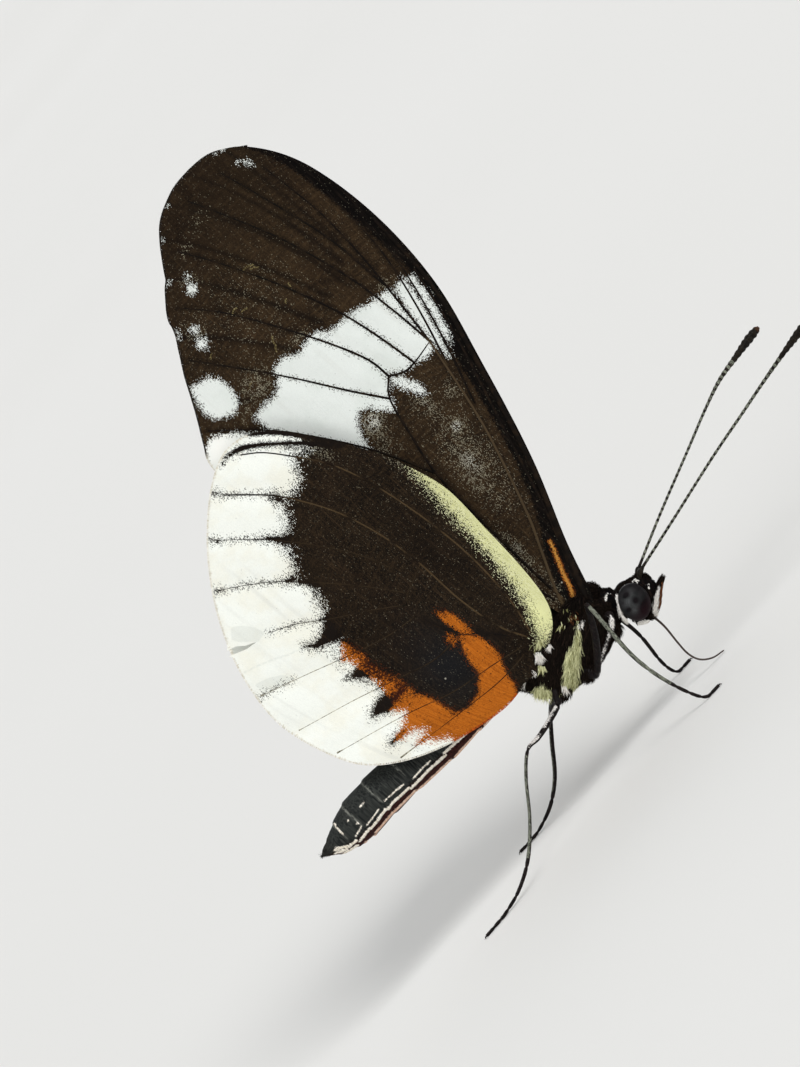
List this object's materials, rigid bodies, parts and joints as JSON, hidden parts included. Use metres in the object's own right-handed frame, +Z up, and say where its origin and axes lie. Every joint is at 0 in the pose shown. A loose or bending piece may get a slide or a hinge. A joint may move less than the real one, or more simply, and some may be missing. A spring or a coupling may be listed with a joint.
{
  "type": "cydno longwing butterfly",
  "caption": "Still, life-size longwing butterfly standing with its wings closed over its back, its feelers held forward and its long tongue hanging down.",
  "frame": {"origin": "on the floor, under the middle of the animal's length and width", "axes": "+X towards the head, +Y towards the animal's left side, +Z up"},
  "size_m": [0.0498, 0.017, 0.0503],
  "materials": {
    "wing_scales": "dull overlapping scales, dark brown with white, orange and yellow markings",
    "body_hair": "short dark hair and scales",
    "shell": "dark shell with a low sheen under fine scales",
    "eye": "dark, finely faceted, glossy",
    "tongue": "dark brown, satin"
  },
  "bodies": {
    "root": {"head": "body_hair", "thorax": "body_hair", "abdomen": "body_hair", "eye_right": "eye", "eye_left": "eye", "antenna_right": "shell", "antenna_left": "shell", "palp_right": "body_hair", "palp_left": "body_hair", "proboscis": "tongue", "foreleg_right": "shell", "foreleg_left": "shell", "midleg_right": "shell", "midleg_left": "shell", "hindleg_right": "shell", "hindleg_left": "shell", "forewing_right": "wing_scales", "forewing_left": "wing_scales", "hindwing_right": "wing_scales", "hindwing_left": "wing_scales"}
  },
  "joints": []
}
